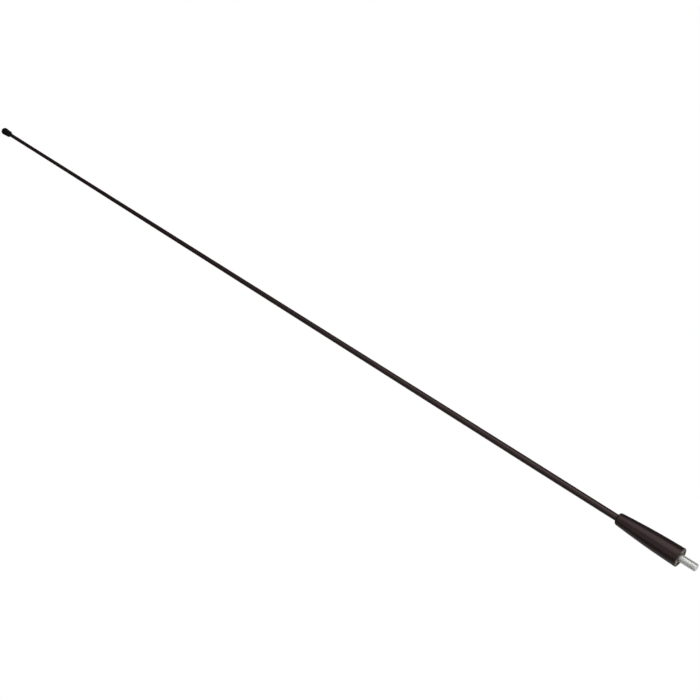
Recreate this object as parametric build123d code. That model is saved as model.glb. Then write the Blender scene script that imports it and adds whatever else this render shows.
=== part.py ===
from build123d import *
import os

# Screw-in rod antenna for a car, in millimetres.
# The mast stands along +Z, with the origin at the centre of the face that seats on the car.

# Whole mast
mast_height = 579.8             # seat face to the top of the tip cap

# Whip: one ground steel rod
whip_root_diameter = 4.3
whip_tip_diameter = 2.5
whip_root_run = 115.0           # height above the seat at which the taper starts
whip_tip_run = 40.0             # straight length below the tip cap's mouth
whip_end_chamfer = 0.3

# Tip cap: moulded bead, closed at the top
cap_length = 7.9
cap_diameter = 4.9              # widest, where the dome starts
cap_mouth_diameter = 4.2
cap_mouth_radius = 0.5
cap_hole_depth = 5.5
cap_clearance = 0.02            # radial, for the glue
cap_end_gap = 0.3               # between the whip's end and the hole's floor

# Base sleeve: moulded over the insert and the whip's root
sleeve_height = 44.6
sleeve_foot_diameter = 12.3
sleeve_top_diameter = 7.75      # of the flank, before its shoulder is rounded
sleeve_swell = 0.45             # of the flank beyond a straight cone, at mid-height
sleeve_shoulder_radius = 1.6
sleeve_foot_radius = 0.25
sleeve_recess_depth = 0.4       # from the seat face up to the insert's face

# Insert: turned brass bush with a flange at its foot and a crimp tube above it
flange_diameter = 8.8
flange_thickness = 1.5
bush_diameter = 7.0
bush_length = 15.0
bush_chamfer = 0.3
collar_across_flats = 7.6       # hexagon that keeps the bush from turning in the sleeve
collar_length = 6.0
collar_height = 4.0             # of the collar's lower face above the bush's face
crimp_diameter = 6.0
crimp_cover = 12.0              # sleeve above the crimp tube's end
crimp_groove_width = 1.2
crimp_groove_depth = 0.35
crimp_groove_spacing = 4.0
countersink_depth = 0.4         # 45 degree mouth of the tapped hole
socket_floor = 2.2              # solid metal between the tapped hole and the whip's socket

# Stud: double-ended, with a short neck between its two threads
stud_diameter = 5.0
stud_reach = 11.4               # below the seat face
stud_engagement = 10.0          # inside the bush
stud_chamfer = 0.6
stud_neck_diameter = 4.0
stud_neck_length = 0.7
thread_clearance = 0.02         # radial, in the bush
thread_end_gap = 0.8            # between the stud's end and the tapped hole's floor

# Heights that follow from the sizes above
bush_face = sleeve_recess_depth
flange_top = bush_face + flange_thickness
bush_top = bush_face + bush_length
thread_start = bush_face + countersink_depth
tapped_floor = bush_face + stud_engagement + thread_end_gap
whip_foot = tapped_floor + socket_floor
crimp_top = sleeve_height - crimp_cover
cap_mouth = mast_height - cap_length
whip_top = cap_mouth + cap_hole_depth - cap_end_gap
whip_taper_end = cap_mouth - whip_tip_run


def turned(outline):
    """Turn a flat outline of radius and height once round the mast's axis."""
    return revolve(Plane.XZ * outline, Axis.Z)


def rounded(outline, corner, radius):
    """The outline with the corner nearest to this point rounded."""
    return fillet(outline.vertices().sort_by_distance(corner)[0], radius)


def bored(radius, bottom, top):
    """Round hole to take away, along the mast's axis."""
    hole = Cylinder(radius, top - bottom, align=(Align.CENTER, Align.CENTER, Align.MIN))
    return Pos(0, 0, bottom) * hole


def make_stud():
    """Two threaded ends at their outer diameter, chamfered, with a neck between them."""
    thread = stud_diameter / 2
    neck = stud_neck_diameter / 2
    lower_end = -stud_reach
    upper_end = bush_face + stud_engagement
    neck_foot = thread_start - stud_neck_length
    return turned(Polygon(
        (0, lower_end),
        (thread - stud_chamfer, lower_end),
        (thread, lower_end + stud_chamfer),
        (thread, neck_foot),
        (neck, neck_foot),
        (neck, thread_start),
        (thread, thread_start),
        (thread, upper_end - stud_chamfer),
        (thread - stud_chamfer, upper_end),
        (0, upper_end),
        align=None,
    ))


def crimp_groove(height):
    """Outline of a groove pressed into the crimp tube, with sloping sides."""
    rim = crimp_diameter / 2
    floor = rim - crimp_groove_depth
    half = crimp_groove_width / 2
    return Polygon(
        (rim, height - half),
        (rim, height + half),
        (floor, height + half - crimp_groove_depth),
        (floor, height - half + crimp_groove_depth),
        align=None,
    )


def insert_envelope():
    """Outside of the insert before boring: flange, bush, hexagon collar and grooved crimp tube."""
    flange = flange_diameter / 2
    bush = bush_diameter / 2
    crimp = crimp_diameter / 2
    outline = Polygon(
        (0, bush_face),
        (flange, bush_face),
        (flange, flange_top),
        (bush, flange_top),
        (bush, bush_top - bush_chamfer),
        (bush - bush_chamfer, bush_top),
        (crimp, bush_top),
        (crimp, crimp_top),
        (0, crimp_top),
        align=None,
    )
    crimp_middle = (bush_top + crimp_top) / 2
    for side in (-1, 1):
        outline -= crimp_groove(crimp_middle + side * crimp_groove_spacing / 2)
    hexagon = RegularPolygon(collar_across_flats / 2, 6, major_radius=False)
    collar = Pos(0, 0, bush_face + collar_height) * extrude(hexagon, collar_length)
    return turned(outline) + collar


def make_insert():
    """Insert with its countersunk hole for the stud below and the whip's socket above."""
    hole = stud_diameter / 2 + thread_clearance
    tapped_hole = turned(Polygon(
        (0, bush_face),
        (hole + countersink_depth, bush_face),
        (hole, thread_start),
        (hole, tapped_floor),
        (0, tapped_floor),
        align=None,
    ))
    socket = bored(whip_root_diameter / 2, whip_foot, crimp_top)
    return insert_envelope() - tapped_hole - socket


def make_base_sleeve():
    """Swelling cone with a rounded shoulder and foot, moulded round the insert and the whip."""
    foot = sleeve_foot_diameter / 2
    top = sleeve_top_diameter / 2
    whip = whip_root_diameter / 2
    flank_middle = ((foot + top) / 2 + sleeve_swell, sleeve_height / 2)
    outline = make_face([
        Line((0, 0), (foot, 0)),
        ThreePointArc((foot, 0), flank_middle, (top, sleeve_height)),
        Line((top, sleeve_height), (0, sleeve_height)),
        Line((0, sleeve_height), (0, 0)),
    ])
    shoulder_radius = min(sleeve_shoulder_radius, (top - whip) * 0.95)
    outline = rounded(outline, (top, sleeve_height), shoulder_radius)
    outline = rounded(outline, (foot, 0), sleeve_foot_radius)
    recess = bored(flange_diameter / 2, 0, bush_face)
    whip_hole = bored(whip, crimp_top, sleeve_height)
    return turned(outline) - recess - whip_hole - insert_envelope()


def make_whip():
    """Straight root, long taper and straight tip, with both ends chamfered."""
    root = whip_root_diameter / 2
    tip = whip_tip_diameter / 2
    return turned(Polygon(
        (0, whip_foot),
        (root - whip_end_chamfer, whip_foot),
        (root, whip_foot + whip_end_chamfer),
        (root, whip_root_run),
        (tip, whip_taper_end),
        (tip, whip_top - whip_end_chamfer),
        (tip - whip_end_chamfer, whip_top),
        (0, whip_top),
        align=None,
    ))


def make_tip_cap():
    """Bead with a domed end, a flank that narrows to the mouth, and a blind hole for the whip."""
    wide = cap_diameter / 2
    mouth = cap_mouth_diameter / 2
    hole = whip_tip_diameter / 2 + cap_clearance
    dome_start = mast_height - wide
    outline = make_face([
        Line((0, cap_mouth), (mouth, cap_mouth)),
        Line((mouth, cap_mouth), (wide, dome_start)),
        RadiusArc((wide, dome_start), (0, mast_height), -wide),
        Line((0, mast_height), (0, cap_mouth)),
    ])
    outline = rounded(outline, (mouth, cap_mouth), min(cap_mouth_radius, (mouth - hole) * 0.9))
    return turned(outline) - bored(hole, cap_mouth, cap_mouth + cap_hole_depth)


nodes = {
    "stud": make_stud(),
    "insert": make_insert(),
    "base_sleeve": make_base_sleeve(),
    "whip": make_whip(),
    "tip_cap": make_tip_cap(),
}

os.makedirs("parts", exist_ok=True)
for name, solid in nodes.items():
    export_step(solid, f"parts/{name}.step")
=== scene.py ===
import math

import bpy
from mathutils import Matrix, Vector


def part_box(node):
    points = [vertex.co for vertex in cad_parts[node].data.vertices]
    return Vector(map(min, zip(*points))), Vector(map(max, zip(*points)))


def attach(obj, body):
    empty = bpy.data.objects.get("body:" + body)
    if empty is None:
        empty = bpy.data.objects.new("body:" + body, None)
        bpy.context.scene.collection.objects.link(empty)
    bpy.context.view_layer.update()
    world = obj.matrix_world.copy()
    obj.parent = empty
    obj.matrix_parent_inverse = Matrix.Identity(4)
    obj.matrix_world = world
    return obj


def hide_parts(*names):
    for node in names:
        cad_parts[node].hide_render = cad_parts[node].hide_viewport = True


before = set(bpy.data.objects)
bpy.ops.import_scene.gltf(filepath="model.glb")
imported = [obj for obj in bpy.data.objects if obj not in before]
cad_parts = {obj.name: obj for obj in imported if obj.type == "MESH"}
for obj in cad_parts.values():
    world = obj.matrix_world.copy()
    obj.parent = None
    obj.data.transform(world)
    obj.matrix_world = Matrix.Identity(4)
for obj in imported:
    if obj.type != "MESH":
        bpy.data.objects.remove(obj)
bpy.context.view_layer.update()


# Stud
# A headless double-ended M5 stud: mild steel bar with a rolled thread, bright zinc plated.
# Its upper end is screwed into the brass insert, and its lower end screws into the car.

mm = 0.001
round_steps = 96
weld_reach = 0.001 * mm

stud_low, stud_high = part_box("stud")
insert_low, insert_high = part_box("insert")
thread_radius = stud_high.x
thread_pitch = 0.8 * mm
thread_depth = 0.43 * mm
thread_crest = 0.10 * mm        # flat on top of the ridge
thread_root = 0.20 * mm         # flat at the bottom of the groove
thread_crest_round = 0.03 * mm
thread_steps = 64
stud_chamfer = 0.6 * mm
neck_radius = 2.0 * mm
neck_length = 0.7 * mm
countersink_depth = 0.4 * mm    # of the insert's hole, where the upper thread starts
neck_top = insert_low.z + countersink_depth
blank_spare = 0.1 * mm          # the blank stands this far outside the thread
shank_length = 1.3 * mm         # with the slope at its lower end


def draw_outline(name, points):
    """Draw a chain of edges through points of radius and height, from one vertex pulled along."""
    bpy.ops.object.select_all(action="DESELECT")
    bpy.ops.mesh.primitive_plane_add(size=mm, location=(points[0][0], 0, points[0][1]))
    piece = bpy.context.active_object
    piece.name = name
    piece.data.name = name
    bpy.ops.object.transform_apply(location=True, rotation=False, scale=False)
    bpy.ops.object.mode_set(mode="EDIT")
    bpy.ops.mesh.select_mode(type="VERT")
    bpy.ops.mesh.select_all(action="SELECT")
    bpy.ops.mesh.merge(type="CENTER")
    for (radius, height), (next_radius, next_height) in zip(points, points[1:]):
        step = (next_radius - radius, 0, next_height - height)
        bpy.ops.mesh.extrude_region_move(TRANSFORM_OT_translate={"value": step})
    bpy.ops.mesh.select_all(action="SELECT")
    return piece


def weld():
    """Merge doubled vertices of the piece in edit mode, and turn its faces outwards."""
    bpy.ops.mesh.select_all(action="SELECT")
    bpy.ops.mesh.remove_doubles(threshold=weld_reach)
    bpy.ops.mesh.normals_make_consistent(inside=False)
    bpy.ops.object.mode_set(mode="OBJECT")


def turn(name, points):
    """Turn an outline once round the mast's axis, as on a lathe."""
    piece = draw_outline(name, points)
    bpy.ops.mesh.spin(steps=round_steps, angle=2 * math.pi, center=(0, 0, 0), axis=(0, 0, 1))
    weld()
    return piece


def smooth(piece, angle=35):
    """Shade a piece smooth, apart from edges sharper than this angle in degrees."""
    bpy.ops.object.select_all(action="DESELECT")
    piece.select_set(True)
    bpy.context.view_layer.objects.active = piece
    bpy.ops.object.shade_smooth_by_angle(angle=math.radians(angle))


def cut(piece, tool, operation):
    """Cut a piece with another solid, which is then thrown away."""
    modifier = piece.modifiers.new(operation.lower(), "BOOLEAN")
    modifier.operation = operation
    modifier.solver = "EXACT"
    modifier.object = tool
    bpy.context.view_layer.objects.active = piece
    bpy.ops.object.modifier_apply(modifier=modifier.name)
    bpy.data.objects.remove(tool)


# One pitch of the thread's outline, wound up past both ends of the stud
flank = (thread_pitch - thread_crest - thread_root) / 2
root_radius = thread_radius - thread_depth
start = stud_low.z - 2 * thread_pitch
crest_foot = start + thread_root + flank
crest_top = crest_foot + thread_crest
turns = math.ceil((stud_high.z - stud_low.z) / thread_pitch) + 4
stud = draw_outline("stud_threaded", [
    (root_radius, start),
    (root_radius, start + thread_root),
    (thread_radius - thread_crest_round, crest_foot - thread_crest_round / 2),
    (thread_radius, crest_foot + thread_crest_round / 2),
    (thread_radius, crest_top - thread_crest_round / 2),
    (thread_radius - thread_crest_round, crest_top + thread_crest_round / 2),
    (root_radius, start + thread_pitch),
])
bpy.ops.object.mode_set(mode="OBJECT")
winding = stud.modifiers.new("winding", "SCREW")
winding.axis = "Z"
winding.screw_offset = thread_pitch
winding.iterations = turns
winding.steps = thread_steps
winding.render_steps = thread_steps
bpy.ops.object.modifier_apply(modifier=winding.name)
bpy.ops.object.mode_set(mode="EDIT")
bpy.ops.mesh.select_all(action="SELECT")
bpy.ops.mesh.remove_doubles(threshold=weld_reach)
for height, up in ((stud_low.z - thread_pitch / 2, 1), (stud_high.z + thread_pitch / 2, -1)):
    bpy.ops.mesh.select_all(action="SELECT")
    bpy.ops.mesh.bisect(plane_co=(0, 0, height), plane_no=(0, 0, up), threshold=weld_reach / 10,
                        use_fill=True, clear_inner=True)
weld()

# The turned blank gives the chamfered ends and the neck, and takes the rest of the winding away
blank_radius = thread_radius + blank_spare
chamfer_rise = stud_chamfer + blank_spare
end_radius = thread_radius - stud_chamfer
neck_foot = neck_top - neck_length
blank = turn("stud_blank", [
    (0, stud_low.z),
    (end_radius, stud_low.z),
    (blank_radius, stud_low.z + chamfer_rise),
    (blank_radius, neck_foot),
    (neck_radius, neck_foot),
    (neck_radius, neck_top),
    (blank_radius, neck_top),
    (blank_radius, stud_high.z - chamfer_rise),
    (end_radius, stud_high.z),
    (0, stud_high.z),
])
cut(stud, blank, "INTERSECT")

# Plain shank where the lower thread runs out below the neck
shank = turn("stud_shank", [
    (0, neck_foot - shank_length),
    (root_radius, neck_foot - shank_length),
    (thread_radius, neck_foot - shank_length + thread_depth),
    (thread_radius, neck_foot),
    (0, neck_foot),
])
cut(stud, shank, "UNION")
smooth(stud, angle=25)


def linear(hex_colour):
    """An sRGB hex colour as linear red, green, blue and alpha."""
    channels = [int(hex_colour[i:i + 2], 16) / 255 for i in (1, 3, 5)]
    return [c / 12.92 if c <= 0.04045 else ((c + 0.055) / 1.055) ** 2.4 for c in channels] + [1]


def add_node(tree, kind, links=None, **settings):
    """Add a node, set its own settings or its inputs by name, and link inputs to other nodes' outputs."""
    node = tree.nodes.new(kind)
    for name, value in settings.items():
        if hasattr(node, name):
            setattr(node, name, value)
        else:
            node.inputs[name.replace("_", " ")].default_value = value
    for name, output in (links or {}).items():
        tree.links.new(output, node.inputs[name])
    return node


def add_tint(tree, value, dark, pale, low=0.0, high=1.0):
    """Add a ramp from a dark to a pale hex colour, as a value goes from low to high."""
    tint = add_node(tree, "ShaderNodeValToRGB", {"Fac": value})
    first, last = tint.color_ramp.elements
    first.position = low
    first.color = linear(dark)
    last.position = high
    last.color = linear(pale)
    return tint


def new_material(name):
    """An empty node material and its output node."""
    material = bpy.data.materials.new(name)
    material.use_nodes = True
    material.node_tree.nodes.clear()
    return material, material.node_tree, add_node(material.node_tree, "ShaderNodeOutputMaterial")


# Zinc plate: a thin bright deposit, softly mottled, that blurs what it mirrors
zinc, tree, output = new_material("zinc_plated_steel")
zinc_mottle_size = 1.2 * mm
place = add_node(tree, "ShaderNodeTexCoord")
mottle = add_node(tree, "ShaderNodeTexNoise", {"Vector": place.outputs["Object"]},
                  Scale=1 / zinc_mottle_size, Detail=3, Roughness=0.6)
tint = add_tint(tree, mottle.outputs["Fac"], "#c9cac8", "#dedfdc", low=0.3, high=0.7)
gloss = add_node(tree, "ShaderNodeMapRange", {"Value": mottle.outputs["Fac"]}, To_Min=0.38, To_Max=0.48)
shader = add_node(tree, "ShaderNodeBsdfPrincipled",
                  {"Base Color": tint.outputs["Color"], "Roughness": gloss.outputs["Result"]},
                  Metallic=0.9)
tree.links.new(shader.outputs["BSDF"], output.inputs["Surface"])
stud.data.materials.append(zinc)
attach(stud, "root")
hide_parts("stud")


# Insert
# A turned brass bush with a flange, a hexagon collar and a crimp tube, buried in the sleeve.
# Only the flange's lower face shows, as a dull ring round the stud's root.

# Turned brass, darker than bright brass: an olive yellow with fine rings from the lathe tool
brass, tree, output = new_material("turned_brass")
tool_mark = 0.75 * mm           # spacing, coarser than real tool marks so that it shows
wave_rate = 20                  # radians of the wave texture to one unit of its own scale
place = add_node(tree, "ShaderNodeTexCoord")
marks = add_node(tree, "ShaderNodeTexWave", {"Vector": place.outputs["Object"]},
                 wave_type="RINGS", rings_direction="Z",
                 Scale=2 * math.pi / (wave_rate * tool_mark), Distortion=0.4, Detail=2)
tint = add_tint(tree, marks.outputs["Fac"], "#746e4a", "#8c865e")
shader = add_node(tree, "ShaderNodeBsdfPrincipled", {"Base Color": tint.outputs["Color"]},
                  Metallic=1.0, Roughness=0.45)
tree.links.new(shader.outputs["BSDF"], output.inputs["Surface"])
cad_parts["insert"].material_slots[0].material = brass


# Base sleeve
# A tapered sleeve of black nylon with a swelling flank, moulded over the insert and the whip's root.
# It hides the crimp, and its flat foot seats on the car.

sleeve_low, sleeve_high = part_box("base_sleeve")
whip_low, whip_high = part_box("whip")
foot_radius = 6.15 * mm
top_radius = 3.875 * mm
flank_swell = 0.45 * mm
shoulder_round = 1.6 * mm
shoulder_lean = 4               # degrees, of the flank where the shoulder's round starts
foot_round = 0.25 * mm
flange_radius = 4.4 * mm
flange_top = insert_low.z + 1.5 * mm
bush_radius = 3.5 * mm
bush_chamfer = 0.3 * mm
bush_top = insert_low.z + 15.0 * mm
collar_across_flats = 7.6 * mm
collar_length = 6.0 * mm
collar_foot = insert_low.z + 4.0 * mm
crimp_radius = 3.0 * mm
crimp_groove_width = 1.2 * mm
crimp_groove_depth = 0.35 * mm
crimp_groove_spacing = 4.0 * mm
flank_steps = 40
corner_steps = 10


def corner(middle, radius, first, last):
    """Points of a rounded corner, between two angles in degrees from outwards towards up."""
    angles = [math.radians(first + (last - first) * i / corner_steps) for i in range(corner_steps + 1)]
    return [(middle[0] + radius * math.cos(a), middle[1] + radius * math.sin(a)) for a in angles]


def flank_radius(height):
    """Radius of the sleeve's flank at a height: a straight cone plus an even swell."""
    share = height / sleeve_high.z
    return foot_radius + (top_radius - foot_radius) * share + 4 * flank_swell * share * (1 - share)


flank_low = foot_round
flank_high = sleeve_high.z - shoulder_round
flank_points = []
for i in range(flank_steps + 1):
    height = flank_low + (flank_high - flank_low) * i / flank_steps
    flank_points.append((flank_radius(height), height))
outer_foot = corner((flank_radius(flank_low) - foot_round, foot_round), foot_round, -90, 0)
shoulder = corner((flank_radius(flank_high) - shoulder_round, flank_high), shoulder_round,
                  shoulder_lean, 90)
# The plastic has run into the crimp tube's two grooves
crimp_middle = (bush_top + insert_high.z) / 2
rib_radius = crimp_radius - crimp_groove_depth
crimp_ribs = []
for side in (1, -1):
    middle = crimp_middle + side * crimp_groove_spacing / 2
    rib_high = middle + crimp_groove_width / 2
    rib_low = middle - crimp_groove_width / 2
    crimp_ribs += [
        (crimp_radius, rib_high),
        (rib_radius, rib_high - crimp_groove_depth),
        (rib_radius, rib_low + crimp_groove_depth),
        (crimp_radius, rib_low),
    ]
sleeve = turn("base_sleeve_moulding", [
    (flange_radius, 0),
    *outer_foot[:-1],
    *flank_points[:-1],
    *shoulder,
    (whip_high.x, sleeve_high.z),
    (whip_high.x, insert_high.z),
    (crimp_radius, insert_high.z),
    *crimp_ribs,
    (crimp_radius, bush_top),
    (bush_radius - bush_chamfer, bush_top),
    (bush_radius, bush_top - bush_chamfer),
    (bush_radius, flange_top),
    (flange_radius, flange_top),
    (flange_radius, 0),
])

# Hexagon pocket that the insert's collar leaves
bpy.ops.object.select_all(action="DESELECT")
bpy.ops.mesh.primitive_cylinder_add(
    vertices=6, radius=collar_across_flats / math.sqrt(3), depth=collar_length,
    location=(0, 0, collar_foot + collar_length / 2), rotation=(0, 0, math.radians(30)))
cut(sleeve, bpy.context.active_object, "DIFFERENCE")
smooth(sleeve)

# Moulded nylon: warm black and satin, with a fine mould grain and slightly uneven gloss from handling
nylon, tree, output = new_material("moulded_black_nylon")
grain_size = 0.35 * mm
handling_size = 9 * mm
place = add_node(tree, "ShaderNodeTexCoord")
handling = add_node(tree, "ShaderNodeTexNoise", {"Vector": place.outputs["Object"]},
                    Scale=1 / handling_size, Detail=4, Roughness=0.6)
tint = add_tint(tree, handling.outputs["Fac"], "#19100f", "#1f1413", low=0.3, high=0.75)
gloss = add_node(tree, "ShaderNodeMapRange", {"Value": handling.outputs["Fac"]}, To_Min=0.34, To_Max=0.42)
grain = add_node(tree, "ShaderNodeTexNoise", {"Vector": place.outputs["Object"]},
                 Scale=1 / grain_size, Detail=2)
bump = add_node(tree, "ShaderNodeBump", {"Height": grain.outputs["Fac"]},
                Strength=0.12, Distance=0.02 * mm)
shader = add_node(tree, "ShaderNodeBsdfPrincipled",
                  {"Base Color": tint.outputs["Color"], "Roughness": gloss.outputs["Result"],
                   "Normal": bump.outputs["Normal"]},
                  IOR=1.5, Specular_IOR_Level=0.3, Specular_Tint=linear("#ffe2e1"))
tree.links.new(shader.outputs["BSDF"], output.inputs["Surface"])
sleeve.data.materials.append(nylon)
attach(sleeve, "root")
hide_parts("base_sleeve")


# Whip
# One steel rod, ground to a long taper and coated satin black.
# Its root is crimped in the insert, and the sleeve is moulded round it.

rod_radius = whip_high.x
tip_radius = 1.25 * mm
end_chamfer = 0.3 * mm
taper_start = 115 * mm
cap_low, cap_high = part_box("tip_cap")
tip_run = 40 * mm               # straight length below the tip cap
taper_end = cap_low.z - tip_run
whip = turn("whip_rod", [
    (0, whip_low.z),
    (rod_radius - end_chamfer, whip_low.z),
    (rod_radius, whip_low.z + end_chamfer),
    (rod_radius, taper_start),
    (tip_radius, taper_end),
    (tip_radius, whip_high.z - end_chamfer),
    (tip_radius - end_chamfer, whip_high.z),
    (0, whip_high.z),
])
smooth(whip)

# Baked coating on steel: a thin warm black with a soft even gloss and a faint ripple
coating, tree, output = new_material("satin_black_coated_steel")
ripple_size = 0.8 * mm
patch_size = 14 * mm
place = add_node(tree, "ShaderNodeTexCoord")
ripple = add_node(tree, "ShaderNodeTexNoise", {"Vector": place.outputs["Object"]},
                  Scale=1 / ripple_size, Detail=2)
bump = add_node(tree, "ShaderNodeBump", {"Height": ripple.outputs["Fac"]},
                Strength=0.08, Distance=0.02 * mm)
patches = add_node(tree, "ShaderNodeTexNoise", {"Vector": place.outputs["Object"]},
                   Scale=1 / patch_size, Detail=4, Roughness=0.6)
tint = add_tint(tree, patches.outputs["Fac"], "#130909", "#180c0c", low=0.3, high=0.75)
shader = add_node(tree, "ShaderNodeBsdfPrincipled",
                  {"Base Color": tint.outputs["Color"], "Normal": bump.outputs["Normal"]},
                  IOR=1.5, Roughness=0.34, Specular_IOR_Level=0.37, Specular_Tint=linear("#ffe2e1"))
tree.links.new(shader.outputs["BSDF"], output.inputs["Surface"])
whip.data.materials.append(coating)
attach(whip, "root")
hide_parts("whip")


# Tip cap
# A small black bead, moulded with a blind hole and glued on the whip's end.
# It keeps the thin end from poking anyone.

mouth_radius = 2.1 * mm
mouth_round = 0.5 * mm
glue_gap = 0.02 * mm
hole_radius = tip_radius + glue_gap
hole_depth = 5.5 * mm
bead_radius = cap_high.x
dome_start = cap_high.z - bead_radius
mouth = corner((mouth_radius - mouth_round, cap_low.z + mouth_round), mouth_round, -90, 0)
dome = corner((0, dome_start), bead_radius, 0, 90)
cap = turn("tip_bead", [
    (0, cap_low.z + hole_depth),
    (hole_radius, cap_low.z + hole_depth),
    (hole_radius, cap_low.z),
    *mouth,
    *dome[:-1],
    (0, cap_high.z),
])
smooth(cap)

# Moulded vinyl: a deeper, duller black than the whip, with almost no gloss
vinyl, tree, output = new_material("moulded_black_vinyl")
place = add_node(tree, "ShaderNodeTexCoord")
grain = add_node(tree, "ShaderNodeTexNoise", {"Vector": place.outputs["Object"]},
                 Scale=1 / grain_size, Detail=2)
tint = add_tint(tree, grain.outputs["Fac"], "#060505", "#0a0808")
bump = add_node(tree, "ShaderNodeBump", {"Height": grain.outputs["Fac"]},
                Strength=0.12, Distance=0.02 * mm)
shader = add_node(tree, "ShaderNodeBsdfPrincipled",
                  {"Base Color": tint.outputs["Color"], "Normal": bump.outputs["Normal"]},
                  IOR=1.5, Roughness=0.45, Specular_IOR_Level=0.12)
tree.links.new(shader.outputs["BSDF"], output.inputs["Surface"])
cap.data.materials.append(vinyl)
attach(cap, "root")
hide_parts("tip_cap")


# Studio
# A pale floor well below the mast, four soft lamps round it and a white ground behind it.
# The camera looks up at the mast's foot, with the tip leaning away from it.

tilt = math.radians(27.0)           # of the mast's tip away from the camera
roll = math.radians(32.28)          # of the mast's picture below the horizontal
focal_px = 2000.0
image_px = 700.0
seat_px = (680.4, 557.82)           # where the seat's centre lies in the picture
seat_depth = 1.154
forward = Vector((0, math.cos(tilt), math.sin(tilt)))
towards_tip = Vector((0, -math.sin(tilt), math.cos(tilt)))
across = Vector((1, 0, 0))
right = -math.cos(roll) * towards_tip + math.sin(roll) * across
up = math.sin(roll) * towards_tip + math.cos(roll) * across
seat_right = (seat_px[0] - image_px / 2) / focal_px * seat_depth
seat_down = (seat_px[1] - image_px / 2) / focal_px * seat_depth
camera_place = -(right * seat_right - up * seat_down + forward * seat_depth)

sensor_mm = 36.0
lens = bpy.data.cameras.new("camera")
lens.sensor_width = sensor_mm
lens.lens = focal_px / image_px * sensor_mm
camera = bpy.data.objects.new("camera", lens)
bpy.context.scene.collection.objects.link(camera)
turned = Matrix((right, up, -forward)).transposed().to_4x4()
camera.matrix_world = Matrix.Translation(camera_place) @ turned
bpy.context.scene.camera = camera

floor_height = -0.9
floor_size = 60.0
floor_white = 0.85           # share of plain white that the camera sees under the mast
floor_near = 1.5             # distance from the mast at which the floor starts to fade into the ground
floor_far = 7.0
paper_full = 0.4             # half width of the lit strip that metal mirrors
paper_edge = 1.2             # half width at which that strip has faded
bpy.ops.object.select_all(action="DESELECT")
bpy.ops.mesh.primitive_plane_add(size=floor_size, location=(0, 0, floor_height))
floor = bpy.context.active_object
floor.name = "floor"


def add_mirrored(tree, path):
    """Add a node that gives one for rays that a surface has mirrored or let through, else nought."""
    rays = {0: path.outputs["Is Glossy Ray"], 1: path.outputs["Is Transmission Ray"]}
    return add_node(tree, "ShaderNodeMath", rays, operation="MAXIMUM")


# Matt white paper, plain white to the camera far from the mast and in a strip that metal mirrors
paper, tree, output = new_material("white_paper")
shader = add_node(tree, "ShaderNodeBsdfPrincipled", Base_Color=linear("#f2f2f2"), Roughness=0.9)
path = add_node(tree, "ShaderNodeLightPath")
mirrored = add_mirrored(tree, path)
place = add_node(tree, "ShaderNodeTexCoord")
sides = add_node(tree, "ShaderNodeSeparateXYZ", {"Vector": place.outputs["Object"]})
aside = add_node(tree, "ShaderNodeMath", {0: sides.outputs["X"]}, operation="ABSOLUTE")
strip = add_node(tree, "ShaderNodeMapRange", {"Value": aside.outputs[0]},
                 From_Min=paper_edge, From_Max=paper_full)
lit = add_node(tree, "ShaderNodeMath", {0: mirrored.outputs[0], 1: strip.outputs["Result"]},
               operation="MULTIPLY")
reach = add_node(tree, "ShaderNodeVectorMath", {0: place.outputs["Object"]}, operation="LENGTH")
fade = add_node(tree, "ShaderNodeMapRange", {"Value": reach.outputs["Value"]},
                From_Min=floor_near, From_Max=floor_far, To_Min=floor_white)
seen = add_node(tree, "ShaderNodeMath",
                {0: path.outputs["Is Camera Ray"], 1: fade.outputs["Result"]}, operation="MULTIPLY")
share = add_node(tree, "ShaderNodeMath", {0: lit.outputs[0], 1: seen.outputs[0]}, operation="MAXIMUM")
white = add_node(tree, "ShaderNodeEmission", Strength=1.0)
shown = add_node(tree, "ShaderNodeMixShader",
                 {"Fac": share.outputs[0], 1: shader.outputs["BSDF"], 2: white.outputs["Emission"]})
tree.links.new(shown.outputs["Shader"], output.inputs["Surface"])
floor.data.materials.append(paper)

lamp_aim = 0.45              # height on the mast that the lamps face
lamp_rise = 0.38             # of the two lamps on the camera's side


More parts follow.
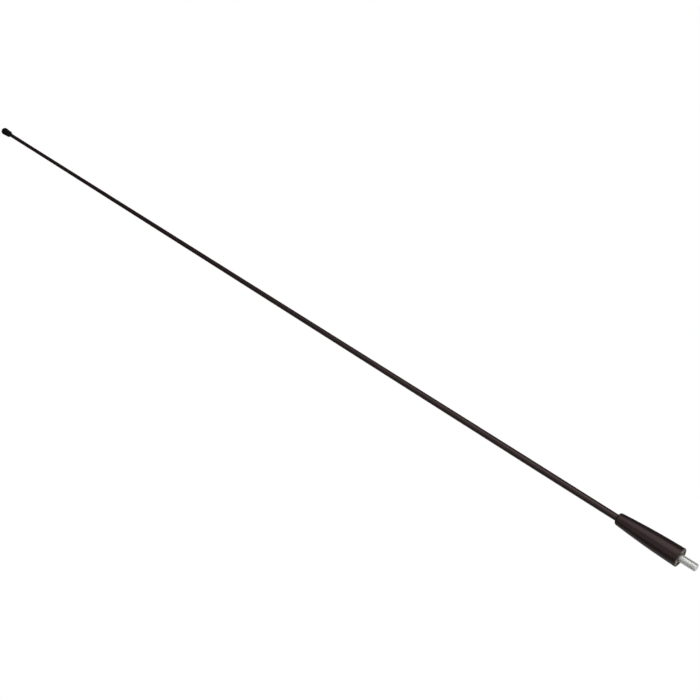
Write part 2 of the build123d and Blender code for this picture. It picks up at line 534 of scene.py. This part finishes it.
def add_lamp(name, angle, distance, rise, width, height, watts):
    """A soft lamp aimed at the mast, at an angle in degrees to the right of the camera's side."""
    data = bpy.data.lights.new(name, "AREA")
    data.shape = "RECTANGLE"
    data.size = width
    data.size_y = height
    data.energy = watts
    lamp = bpy.data.objects.new(name, data)
    bpy.context.scene.collection.objects.link(lamp)
    side = math.radians(angle)
    lamp.location = (distance * math.sin(side), -distance * math.cos(side), rise)
    facing = Vector((0, 0, lamp_aim)) - lamp.location
    lamp.rotation_euler = facing.to_track_quat("-Z", "Y").to_euler()
    lamp.visible_camera = False


# The wide lamp on the right gives the long highlight, and the weak front lamp opens up the shaded side
add_lamp("soft_lamp", angle=41, distance=1.5, rise=lamp_rise, width=1.8, height=1.3, watts=19.5)
add_lamp("front_lamp", angle=-25, distance=1.6, rise=lamp_rise, width=1.2, height=1.5, watts=6.5)

# Two lamps behind the mast: one as a pale card that gives the shaded side a faint edge, one for its back
add_lamp("pale_card", angle=-115, distance=1.2, rise=lamp_aim, width=1.5, height=1.5, watts=3.8)
add_lamp("back_lamp", angle=180, distance=1.6, rise=1.2, width=1.6, height=1.4, watts=10)

# White ground for the camera, and for mirrored rays that leave towards it, in a grey room
world = bpy.data.worlds.new("studio")
bpy.context.scene.world = world
world.use_nodes = True
tree = world.node_tree
tree.nodes.clear()
room_level = 0.1
ground_edge = math.cos(math.radians(35))
ground_full = math.cos(math.radians(20))
path = add_node(tree, "ShaderNodeLightPath")
place = add_node(tree, "ShaderNodeTexCoord")
aim = add_node(tree, "ShaderNodeVectorMath", {0: place.outputs["Generated"]}, operation="DOT_PRODUCT")
aim.inputs[1].default_value = forward
mask = add_node(tree, "ShaderNodeMapRange", {"Value": aim.outputs["Value"]},
                From_Min=ground_edge, From_Max=ground_full)
mirrored = add_mirrored(tree, path)
shown = add_node(tree, "ShaderNodeMath", {0: mirrored.outputs[0], 1: mask.outputs["Result"]},
                 operation="MULTIPLY")
white = add_node(tree, "ShaderNodeMath", {0: shown.outputs[0], 1: path.outputs["Is Camera Ray"]},
                 operation="MAXIMUM")
level = add_node(tree, "ShaderNodeMapRange", {"Value": white.outputs[0]}, To_Min=room_level, To_Max=1.0)
ground = add_node(tree, "ShaderNodeBackground", {"Strength": level.outputs["Result"]}, Color=(1, 1, 1, 1))
output = add_node(tree, "ShaderNodeOutputWorld", {"Surface": ground.outputs["Background"]})

bpy.context.scene.view_settings.view_transform = "Standard"
